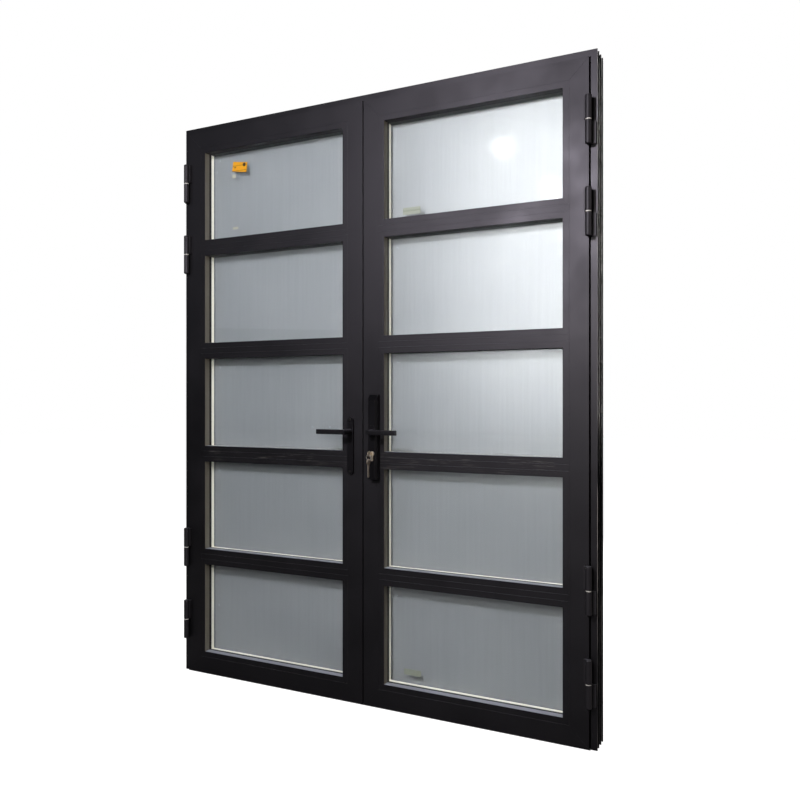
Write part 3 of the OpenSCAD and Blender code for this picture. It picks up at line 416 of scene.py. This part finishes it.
# ---- The leaves ----
# Stiles and rails of the same extrusion, mitred at the corners, and four hollow glazing bars.
# They have the frame's coat. Handling has left pale dusty strokes on the third bar down.
def leaf_coat():
    """The frame's powder coat with the third bar's strokes, which keep clear of both of the
    bar's ends."""
    bar_middle = 0.8436
    half_bar = 26 * MM
    clear_end = 40 * MM
    stroke = 4 * MM
    coat = powder_coat("leaf_powder_coat", "#080809", roughness=0.5, grain=1.6, dust_and_top_light=1.6)
    shader = coat.node_tree.nodes["Principled BSDF"]
    old = shader.inputs["Base Color"].links[0].from_socket
    place = add(coat, "ShaderNodeTexCoord").outputs["Object"]
    parts = add(coat, "ShaderNodeSeparateXYZ", {0: place})
    flat = add(coat, "ShaderNodeMapping", {"Vector": place, "Scale": (0.05, 1.0, 1.0)})
    strokes = add(
        coat, "ShaderNodeTexNoise",
        {"Vector": flat.outputs[0], "Scale": 1 / stroke, "Detail": 6.0, "Roughness": 0.7},
    )
    pale = add(
        coat, "ShaderNodeMapRange",
        {"Value": strokes.outputs[0], "From Min": 0.57, "From Max": 0.78, "To Max": 0.55},
    )
    on_bar = add(
        coat, "ShaderNodeMath", {0: parts.outputs["Z"], 1: bar_middle, 2: half_bar},
        operation="COMPARE",
    )
    half_leaf = abs(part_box("left_glazing_bars")[0].x) / 2
    side = add(coat, "ShaderNodeMath", {0: parts.outputs["X"]}, operation="ABSOLUTE")
    between = add(
        coat, "ShaderNodeMath",
        {0: side.outputs[0], 1: half_leaf, 2: half_leaf - clear_end},
        operation="COMPARE",
    )
    zone = add(
        coat, "ShaderNodeMath", {0: on_bar.outputs[0], 1: between.outputs[0]},
        operation="MULTIPLY",
    )
    mask = add(
        coat, "ShaderNodeMath", {0: zone.outputs[0], 1: pale.outputs[0]}, operation="MULTIPLY"
    )
    struck = add(
        coat, "ShaderNodeMix", {0: mask.outputs[0], 6: old, 7: linear("#8a8782")},
        data_type="RGBA",
    )
    coat.node_tree.links.new(struck.outputs[2], shader.inputs["Base Color"])
    return coat


leaf_paint = leaf_coat()
for side in ("left", "right"):
    for part in ("hinge_stile", "meeting_stile", "top_rail", "bottom_rail", "glazing_bars"):
        painted(f"{side}_{part}", leaf_paint, 0.35)
    coat_node(f"{side}_thermal_breaks", polyamide)


# ---- The glazing beads ----
# Snap-in beads hold each pane: the long ones run across, and the short ones stand between
# them. They have the leaf's coat, and a dark hairline shows where two of them meet.
def bead_coat():
    """The leaf's coat with a hairline at each butt joint, drawn 0.8 mm wide so that it shows.
    Its flanks are drawn lighter by the way they face, as painted light: olive grey where they
    face sideways, and blue-grey where they face up."""
    bead = 20 * MM
    bar = 60 * MM
    hairline = 0.8 * MM
    panes = 5
    steep = 0.8
    coat = leaf_paint.copy()
    coat.name = "bead_powder_coat"
    shader = coat.node_tree.nodes["Principled BSDF"]
    old = shader.inputs["Base Color"].links[0].from_socket
    low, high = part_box("left_glazing_beads")
    opening = (high.z - low.z - 2 * bead - (panes - 1) * bar) / panes
    parts = add(
        coat, "ShaderNodeSeparateXYZ", {0: add(coat, "ShaderNodeTexCoord").outputs["Object"]}
    )
    joints = None
    for edge in (0.0, opening):
        raised = add(
            coat, "ShaderNodeMath", {0: parts.outputs["Z"], 1: low.z + bead + edge},
            operation="SUBTRACT",
        )
        step = add(
            coat, "ShaderNodeMath", {0: raised.outputs[0], 1: 0.0, 2: opening + bar},
            operation="WRAP",
        )
        near = add(
            coat, "ShaderNodeMath", {0: step.outputs[0], 1: 0.0, 2: hairline / 2},
            operation="COMPARE",
        )
        joints = (
            add(
                coat, "ShaderNodeMath", {0: joints, 1: near.outputs[0]}, operation="MAXIMUM"
            ).outputs[0]
            if joints
            else near.outputs[0]
        )
    side = add(coat, "ShaderNodeMath", {0: parts.outputs["X"]}, operation="ABSOLUTE")
    inner, outer = abs(high.x) + bead, abs(low.x) - bead
    off = add(
        coat, "ShaderNodeMath",
        {0: side.outputs[0], 1: (inner + outer) / 2, 2: (outer - inner) / 2},
        operation="COMPARE",
    )
    beside = add(
        coat, "ShaderNodeMath", {0: joints, 1: off.outputs[0]}, operation="SUBTRACT",
        use_clamp=True,
    )
    lined = add(
        coat, "ShaderNodeMix", {0: beside.outputs[0], 6: old, 7: linear("#0c0c0e")},
        data_type="RGBA",
    )
    facing = add(
        coat, "ShaderNodeSeparateXYZ",
        {0: add(coat, "ShaderNodeNewGeometry").outputs["Normal"]},
    )
    sideways = add(coat, "ShaderNodeMath", {0: facing.outputs["X"]}, operation="ABSOLUTE")
    # Painted light: flanks that face sideways are drawn olive grey and those that face up
    # blue-grey, as the lamps light them.
    flank_lit_colour = lined.outputs[2]
    for turned, flank_light_colour in ((sideways.outputs[0], "#6f6a5e"), (facing.outputs["Z"], "#8e939e")):
        flank = add(coat, "ShaderNodeMath", {0: turned, 1: steep}, operation="GREATER_THAN")
        flank_lit_colour = add(
            coat, "ShaderNodeMix", {0: flank.outputs[0], 6: flank_lit_colour, 7: linear(flank_light_colour)},
            data_type="RGBA",
        ).outputs[2]
    coat.node_tree.links.new(flank_lit_colour, shader.inputs["Base Color"])
    return coat


bead_paint = bead_coat()
for side in ("left", "right"):
    painted(f"{side}_glazing_beads", bead_paint, 0.4)


# ---- The panes ----
# Sealed double glazing: a clear float pane in front, and behind it an acid-etched pane that
# is milky, a little blue, and faintly streaked from top to bottom. Lamps shine through the
# clear one.
def clear_float():
    """Clear float glass: green-tinted, sharp, and dulled here and there by wiped smears. The
    lamps' light passes it unbent."""
    smear_size = 70 * MM
    glass, shader = finish("clear_float_glass", IOR=1.5)
    shader.inputs["Base Color"].default_value = linear("#fafdfc")
    shader.inputs["Transmission Weight"].default_value = 1.0
    place = add(glass, "ShaderNodeTexCoord").outputs["Object"]
    smear = add(
        glass, "ShaderNodeTexNoise",
        {"Vector": place, "Scale": 1 / smear_size, "Detail": 6.0, "Distortion": 0.6},
    )
    dulled = add(
        glass, "ShaderNodeMapRange",
        {"Value": smear.outputs[0], "From Min": 0.5, "From Max": 0.8, "To Min": 0.02,
         "To Max": 0.035},
    )
    glass.node_tree.links.new(dulled.outputs[0], shader.inputs["Roughness"])
    lamp_ray = add(glass, "ShaderNodeLightPath").outputs["Is Shadow Ray"]
    passed = add(glass, "ShaderNodeBsdfTransparent", {"Color": linear("#f8faf9")})
    lets_through = add(
        glass, "ShaderNodeMixShader",
        {0: lamp_ray, 1: shader.outputs[0], 2: passed.outputs[0]},
    )
    output = glass.node_tree.nodes["Material Output"]
    glass.node_tree.links.new(lets_through.outputs[0], output.inputs["Surface"])
    return glass


def etched_float():
    """Acid-etched float glass: it scatters what passes and shows a soft, even milk. Faint
    upright streaks, 6 mm apart, are left by the etching bath."""
    streak = 6 * MM
    cloud = 220 * MM
    glass, shader = finish("acid_etched_glass", IOR=1.5)
    shader.inputs["Transmission Weight"].default_value = 0.4
    place = add(glass, "ShaderNodeTexCoord").outputs["Object"]
    upright = add(glass, "ShaderNodeMapping", {"Vector": place, "Scale": (1.0, 1.0, 0.02)})
    streaks = add(
        glass, "ShaderNodeTexNoise",
        {"Vector": upright.outputs[0], "Scale": 1 / streak, "Detail": 2.0},
    )
    clouds = add(
        glass, "ShaderNodeTexNoise", {"Vector": place, "Scale": 1 / cloud, "Detail": 3.0}
    )
    milk = add(
        glass, "ShaderNodeMix",
        {0: clouds.outputs[0], 6: linear("#91959b"), 7: linear("#a1a5aa")}, data_type="RGBA",
    )
    streaked = add(
        glass, "ShaderNodeMapRange",
        {"Value": streaks.outputs[0], "From Min": 0.35, "From Max": 0.65, "To Min": 0.94,
         "To Max": 1.0},
    )
    tone = add(
        glass, "ShaderNodeVectorMath", {0: milk.outputs[2], "Scale": streaked.outputs[0]},
        operation="SCALE",
    )
    rough = add(
        glass, "ShaderNodeMapRange",
        {"Value": streaks.outputs[0], "To Min": 0.4, "To Max": 0.48},
    )
    links = glass.node_tree.links
    links.new(tone.outputs[0], shader.inputs["Base Color"])
    links.new(rough.outputs[0], shader.inputs["Roughness"])
    return glass


clear_glass = clear_float()
etched_glass = etched_float()
for side in ("left", "right"):
    coat_node(f"{side}_front_panes", clear_glass)
    coat_node(f"{side}_rear_panes", etched_glass)
    coat_node(f"{side}_glazing_gaskets", rubber)


# ---- The spacer bars ----
# A cream-coated aluminium channel keeps the two panes apart. Black butyl bonds it to the
# front pane, a dark blue sealant to the rear one, and plastic keys join its corners.
def cream_channel():
    """Cream lacquer between the sealants at its edges. What faces down is drawn nearly black: a
    painted shade.
    """
    butyl_width = 6.5 * MM
    sealant_width = 5 * MM
    speck = 3 * MM
    steep = 0.7
    lacquer, shader = finish("cream_spacer_lacquer", Roughness=0.35)
    place = add(lacquer, "ShaderNodeTexCoord").outputs["Object"]
    parts = add(lacquer, "ShaderNodeSeparateXYZ", {0: place})
    low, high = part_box("left_spacer_bars")
    speckle = add(
        lacquer, "ShaderNodeTexNoise", {"Vector": place, "Scale": 1 / speck, "Detail": 2.0}
    )
    cream = add(
        lacquer, "ShaderNodeMix",
        {0: speckle.outputs[0], 6: linear("#fff8e6"), 7: linear("#fffdf5")}, data_type="RGBA",
    )
    butyl = add(
        lacquer, "ShaderNodeMath", {0: parts.outputs["Y"], 1: low.y + butyl_width},
        operation="LESS_THAN",
    )
    blue = add(
        lacquer, "ShaderNodeMath", {0: parts.outputs["Y"], 1: high.y - sealant_width},
        operation="GREATER_THAN",
    )
    edged = add(
        lacquer, "ShaderNodeMix",
        {0: butyl.outputs[0], 6: cream.outputs[2], 7: linear("#0d0d0f")}, data_type="RGBA",
    )
    backed = add(
        lacquer, "ShaderNodeMix",
        {0: blue.outputs[0], 6: edged.outputs[2], 7: linear("#1b2440")}, data_type="RGBA",
    )
    upward = add(
        lacquer, "ShaderNodeSeparateXYZ",
        {0: add(lacquer, "ShaderNodeNewGeometry").outputs["Normal"]},
    ).outputs["Z"]
    # Painted shade: the spacer's downward faces are drawn nearly black.
    painted_underside_shade = add(lacquer, "ShaderNodeMath", {0: upward, 1: -steep}, operation="LESS_THAN")
    shaded = add(
        lacquer, "ShaderNodeMix",
        {0: painted_underside_shade.outputs[0], 6: backed.outputs[2], 7: linear("#16171b")}, data_type="RGBA",
    )
    lacquer.node_tree.links.new(shaded.outputs[2], shader.inputs["Base Color"])
    return lacquer


cream = cream_channel()
for side in ("left", "right"):
    coat_node(f"{side}_spacer_bars", cream)


# ---- The marks on the glass ----
# An orange label with dark print and, just below it, a pale mark that is a painted reflection
# of it; the pale ghost of a label that was peeled off; two pale green labels; and small round
# silicone pads that kept the panes apart on the lorry.
glass_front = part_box("left_front_panes")[0].y


def sticker(name, corner, size, thick, material, body, turn=0):
    """A label on the front pane: corner is its lower left one, in metres, and size is in mm,
    like thick. It is stuck on turned clockwise by some degrees, and its corners are round."""
    rounding = 2 * MM
    bpy.ops.object.select_all(action="DESELECT")
    middle = (corner[0] + size[0] * MM / 2, glass_front, corner[1] + size[1] * MM / 2)
    bpy.ops.mesh.primitive_plane_add(size=1, location=middle)
    piece = bpy.context.object
    piece.name = name
    piece.rotation_euler = (math.radians(90), math.radians(turn), 0)
    piece.scale = (size[0] * MM, size[1] * MM, 1)
    bpy.ops.object.transform_apply(location=True, rotation=True, scale=True)
    bpy.ops.object.mode_set(mode="EDIT")
    bpy.ops.mesh.select_all(action="SELECT")
    bpy.ops.mesh.bevel(offset=rounding, segments=5, affect="VERTICES")
    bpy.ops.mesh.extrude_region_move(TRANSFORM_OT_translate={"value": (0, -thick * MM, 0)})
    bpy.ops.mesh.select_all(action="SELECT")
    bpy.ops.mesh.normals_make_consistent(inside=False)
    bpy.ops.object.mode_set(mode="OBJECT")
    piece.data.materials.append(material)
    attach(piece, body)


def printed_film(name, colour, ink, bands, discs=()):
    """Glossy printed film. Its ink is a few plain bands across it and plain discs. A band has
    a height and half a width, and a disc has a place along, a height and a radius."""
    rubbing = 5 * MM
    film, shader = finish(name, Roughness=0.4)
    place = add(film, "ShaderNodeTexCoord").outputs["Object"]
    parts = add(film, "ShaderNodeSeparateXYZ", {0: place})
    worn = add(
        film, "ShaderNodeTexNoise", {"Vector": place, "Scale": 1 / rubbing, "Detail": 4.0}
    )
    tint = add(
        film, "ShaderNodeMix",
        {0: worn.outputs[0], 6: linear(colour), 7: tuple(0.8 * c for c in linear(colour))},
        data_type="RGBA",
    ).outputs[2]
    for height, half in bands:
        band = add(
            film, "ShaderNodeMath", {0: parts.outputs["Z"], 1: height, 2: half},
            operation="COMPARE",
        )
        faint = add(
            film, "ShaderNodeMath", {0: band.outputs[0], 1: worn.outputs[0]},
            operation="MULTIPLY",
        )
        tint = add(
            film, "ShaderNodeMix", {0: faint.outputs[0], 6: tint, 7: linear(ink)},
            data_type="RGBA",
        ).outputs[2]
    for along, height, radius in discs:
        away = add(
            film, "ShaderNodeVectorMath", {0: place, 1: (along, glass_front, height)},
            operation="DISTANCE",
        )
        inside = add(
            film, "ShaderNodeMath", {0: away.outputs["Value"], 1: radius}, operation="LESS_THAN"
        )
        tint = add(
            film, "ShaderNodeMix", {0: inside.outputs[0], 6: tint, 7: linear(ink)},
            data_type="RGBA",
        ).outputs[2]
    film.node_tree.links.new(tint, shader.inputs["Base Color"])
    return film


print_bands = [(1.9375, 1.2 * MM), (1.918, 1.5 * MM)]
print_discs = [(-0.532, 1.938, 7 * MM), (-0.575, 1.932, 3 * MM)]
orange_film = printed_film(
    "orange_label_film", "#f3ad1c", "#3a2a12", print_bands, print_discs
)
green_film = printed_film("pale_green_film", "#9fa898", "#7c8776", [(1.688, 3 * MM)])
# One pale film serves both the peeled label's ghost and the orange label's painted reflection.
glue_and_reflection_film = moulded("label_glue_and_reflection", "#c9cbb8", roughness=0.8, grain=3.0)
sticker("orange_label", (-0.587, 1.913), (68, 37), 0.2, orange_film, "left_leaf",
        turn=9)
# Painted reflection: a pale mark below the orange label stands in for its reflection in the rear
# pane.
sticker("orange_label_reflection", (-0.588, 1.892), (16, 14), 0.1, glue_and_reflection_film, "left_leaf")
sticker("lower_glue_mark", (-0.586, 1.697), (26, 9), 0.1, glue_and_reflection_film, "left_leaf")
sticker("top_lite_label", (0.139, 1.675), (66, 24), 0.2, green_film, "right_leaf")
sticker("bottom_lite_label", (0.143, 0.121), (64, 20), 0.2, green_film, "right_leaf")


def silicone_pad(name, x, z, body):
    """A milky round pad, domed, with a flat foot on the glass."""
    radius = 3.2 * MM
    height = 1.4 * MM
    rounding = 1.0 * MM
    bpy.ops.object.select_all(action="DESELECT")
    bpy.ops.mesh.primitive_cylinder_add(
        vertices=24, radius=radius, depth=height,
        location=(x, glass_front - height / 2, z), rotation=(math.radians(90), 0, 0),
    )
    piece = bpy.context.object
    piece.name = name
    bpy.ops.object.transform_apply(location=True, rotation=True, scale=True)
    bpy.ops.object.mode_set(mode="EDIT")
    bpy.ops.mesh.select_all(action="DESELECT")
    bpy.ops.object.mode_set(mode="OBJECT")
    for face in piece.data.polygons:
        face.select = face.normal.y < -0.9
    bpy.ops.object.mode_set(mode="EDIT")
    bpy.ops.mesh.select_mode(type="FACE")
    bpy.ops.mesh.bevel(offset=rounding, segments=4, affect="EDGES")
    bpy.ops.object.mode_set(mode="OBJECT")
    bpy.ops.object.shade_smooth_by_angle(angle=math.radians(50))
    piece.data.materials.append(silicone)
    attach(piece, body)


silicone = moulded("milky_silicone", "#b6bfc6", roughness=0.35, grain=2.0)
pads = [
    ("left_leaf", -0.647, 1.965), ("left_leaf", -0.660, 1.924), ("left_leaf", -0.226, 0.952),
    ("left_leaf", -0.152, 0.953), ("left_leaf", -0.653, 0.261), ("left_leaf", -0.648, 1.172),
    ("left_leaf", -0.650, 0.778), ("right_leaf", 0.121, 0.782), ("right_leaf", 0.118, 1.566),
    ("right_leaf", 0.120, 1.178), ("right_leaf", 0.117, 0.384),
]
for number, (body, x, z) in enumerate(pads, 1):
    silicone_pad(f"silicone_pad_{number}", x, z, body)


# ---- Screw heads ----
# Raised-head machine screws with a cross recess, plated and then touched with black: they
# hold the left plate from the front and clamp the right leaf's two plates from behind.
head_radius = 4.6 * MM
head_height = 1.5 * MM
cross_depth = 0.7 * MM


def cross_head(x, y, z, way):
    """A domed head at x, z, whose seat is at y and which rises towards way, with a cross cut
    in its top. Returns its object."""
    bpy.ops.object.select_all(action="DESELECT")
    bpy.ops.mesh.primitive_cylinder_add(
        vertices=32, radius=head_radius, depth=head_height,
        location=(x, y + way * head_height / 2, z), rotation=(math.radians(-90 * way), 0, 0),
    )
    head = bpy.context.object
    bpy.ops.object.transform_apply(location=True, rotation=True, scale=True)
    bpy.ops.object.mode_set(mode="EDIT")
    bpy.ops.mesh.select_mode(type="FACE")
    bpy.ops.mesh.select_all(action="DESELECT")
    bpy.ops.object.mode_set(mode="OBJECT")
    for face in head.data.polygons:
        face.select = face.normal.y * way > 0.9
    bpy.ops.object.mode_set(mode="EDIT")
    bpy.ops.mesh.bevel(offset=0.45 * head_height, segments=3, affect="EDGES")
    bpy.ops.object.mode_set(mode="OBJECT")
    for turned in (20, 110):
        bpy.ops.object.select_all(action="DESELECT")
        bpy.ops.mesh.primitive_cube_add(size=1, location=(x, y + way * head_height, z))
        blade = bpy.context.object
        blade.scale = (1.25 * head_radius, 2 * cross_depth, 0.32 * head_radius)
        blade.rotation_euler = (0, math.radians(turned), 0)
        cut = head.modifiers.new("recess", "BOOLEAN")
        cut.object = blade
        cut.solver = "EXACT"
        bpy.context.view_layer.objects.active = head
        bpy.ops.object.modifier_apply(modifier=cut.name)
        bpy.data.objects.remove(blade)
    return head


def cut_shanks(node, name, y, way):
    """A CAD node's screws, without what stands out beyond y towards way."""
    shanks = loose_copy(node, name)
    bpy.ops.object.mode_set(mode="EDIT")
    bpy.ops.mesh.select_all(action="SELECT")
    bpy.ops.mesh.bisect(
        plane_co=(0, y, 0), plane_no=(0, way, 0), clear_outer=True, use_fill=True
    )
    bpy.ops.object.mode_set(mode="OBJECT")
    return shanks


def joined(pieces, name):
    """Joins pieces in one, under a name."""
    bpy.ops.object.select_all(action="DESELECT")
    for piece in pieces:
        piece.select_set(True)
    bpy.context.view_layer.objects.active = pieces[0]
    bpy.ops.object.join()
    whole = bpy.context.object
    whole.name = name
    bpy.ops.object.shade_smooth_by_angle(angle=math.radians(40))
    return whole


plated_steel = brushed_metal("blackened_screw_steel", "#5a5856", roughness=0.3, lines=0.7, axis="X")
zinc_steel = brushed_metal("zinc_plated_steel", "#a9abac", roughness=0.38, lines=1.0, axis="Z")
low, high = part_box("left_plate_screws")
plate_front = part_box("left_backplate")[0].y
screw_x = (low.x + high.x) / 2
shanks = cut_shanks("left_plate_screws", "left_screw_shanks", plate_front, -1)
heads = [
    cross_head(screw_x, plate_front, z, -1) for z in (low.z + head_radius, high.z - head_radius)
]
left_screws = joined([shanks, *heads], "left_plate_screws_recessed")
stand_for(left_screws, "left_plate_screws", plated_steel)

outer_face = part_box("outer_lock_plate")[1].y
clamp_x = 49.5 * MM
clamp_heights = (0.795, 1.050)
clamps = cut_shanks("right_plate_screws", "right_screw_shanks", outer_face, 1)
heads = [cross_head(clamp_x, outer_face, z, 1) for z in clamp_heights]
right_screws = joined([clamps, *heads], "right_plate_screws_recessed")
stand_for(right_screws, "right_plate_screws", plated_steel)


# ---- The levers and their plates ----
# Die-cast zinc, painted a smooth satin black. The left plate is a flat stadium, and the right
# one is a thick box with a sloped top, made to hold the longer lock cylinder.
handle_paint = powder_coat("handle_satin_black", "#050506", roughness=0.36, grain=2.5, dust_and_top_light=0.2)
for node in ("left_lever", "right_lever", "outer_lever"):
    painted(node, handle_paint, 0.7)
for node in ("right_lock_plate", "outer_lock_plate"):
    painted(node, handle_paint, 1.5)


def left_plate():
    """The left plate with its eased edge, and the groove below its top screw, where that
    screw's cover ends."""
    groove_below_top = 20 * MM
    groove_width = 1.2 * MM
    groove_depth = 0.5 * MM
    rim = 2.5 * MM
    piece = loose_copy("left_backplate", "left_backplate_painted")
    low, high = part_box("left_backplate")
    bpy.ops.object.select_all(action="DESELECT")
    bpy.ops.mesh.primitive_cube_add(
        size=1, location=((low.x + high.x) / 2, low.y, high.z - groove_below_top)
    )
    tool = bpy.context.object
    tool.scale = (high.x - low.x - 2 * rim, 2 * groove_depth, groove_width)
    cut = piece.modifiers.new("groove", "BOOLEAN")
    cut.object = tool
    cut.solver = "EXACT"
    bpy.context.view_layer.objects.active = piece
    bpy.ops.object.modifier_apply(modifier=cut.name)
    bpy.data.objects.remove(tool)
    piece.select_set(True)
    ease(piece, 0.35)
    return piece


stand_for(left_plate(), "left_backplate", handle_paint)


# ---- The gear and the locks ----
# Pressed and zinc-plated steel inside the meeting stiles: the bolt drive's case, pinion and
# bolts on the left, and the mortice lock, its faceplate and its bolts on the right.
for node in (
    "left_spindle", "left_pinion", "top_shoot_bolt", "bottom_shoot_bolt", "left_gear_case",
    "strike_plate", "right_spindle", "lever_follower", "latch_bolt", "dead_bolt", "lock_case",
    "lock_faceplate",
):
    coat_node(node, zinc_steel)
coat_node("meeting_seal", rubber)


# ---- The meeting seal's pile ----
# Black nylon pile stands out of the seal's edge and brushes the left leaf, so that no light
# shows between the leaves. Its tufts are of uneven length, 3 mm apart.
low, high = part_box("meeting_seal")
pile_root = low.x + 1 * MM
pile_tip = -3.2 * MM
pile_thick = 1.2 * MM
uneven = 0.5 * MM
tufts = round((high.z - low.z) / (3 * MM))
bpy.ops.object.select_all(action="DESELECT")
bpy.ops.mesh.primitive_grid_add(x_subdivisions=1, y_subdivisions=tufts, size=1)
pile = bpy.context.object
pile.name = "meeting_seal_pile"
pile.scale = (pile_root - pile_tip, high.z - low.z, 1)
pile.rotation_euler = (math.radians(90), 0, 0)
pile.location = (
    (pile_root + pile_tip) / 2, (low.y + high.y - pile_thick) / 2, (low.z + high.z) / 2
)
bpy.ops.object.transform_apply(location=True, rotation=True, scale=True)
for corner in pile.data.vertices:
    if corner.co.x < 0:
        corner.co.x += uneven * (1 + math.sin(7.0 * corner.index))
thicken = pile.modifiers.new("thickness", "SOLIDIFY")
thicken.thickness = pile_thick
thicken.offset = 0.0
bpy.ops.object.modifier_apply(modifier=thicken.name)
pile.data.materials.append(moulded("black_nylon_pile", "#101011", roughness=0.8, grain=0.8))
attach(pile, "right_leaf")


# ---- The cylinder and the keys ----
# A nickel-plated brass profile cylinder with one key in it. A steel split ring hangs in that
# key's bow, and a second, worn key hangs from the ring.
nickel = brushed_metal("nickel_plated_brass", "#efe2cc", roughness=0.42, lines=0.8, axis="Z")
worn_key = brushed_metal("worn_nickel_key", "#f6e6d2", roughness=0.42, lines=1.2, axis="Z")
ring_steel = brushed_metal("split_ring_steel", "#f6f4f1", roughness=0.36, lines=0.6, axis="X")
for node in ("lock_cylinder", "cylinder_plug"):
    painted(node, nickel, 0.25)
for node in ("key", "spare_key"):
    painted(node, worn_key, 0.3)
coat_node("split_ring", ring_steel)
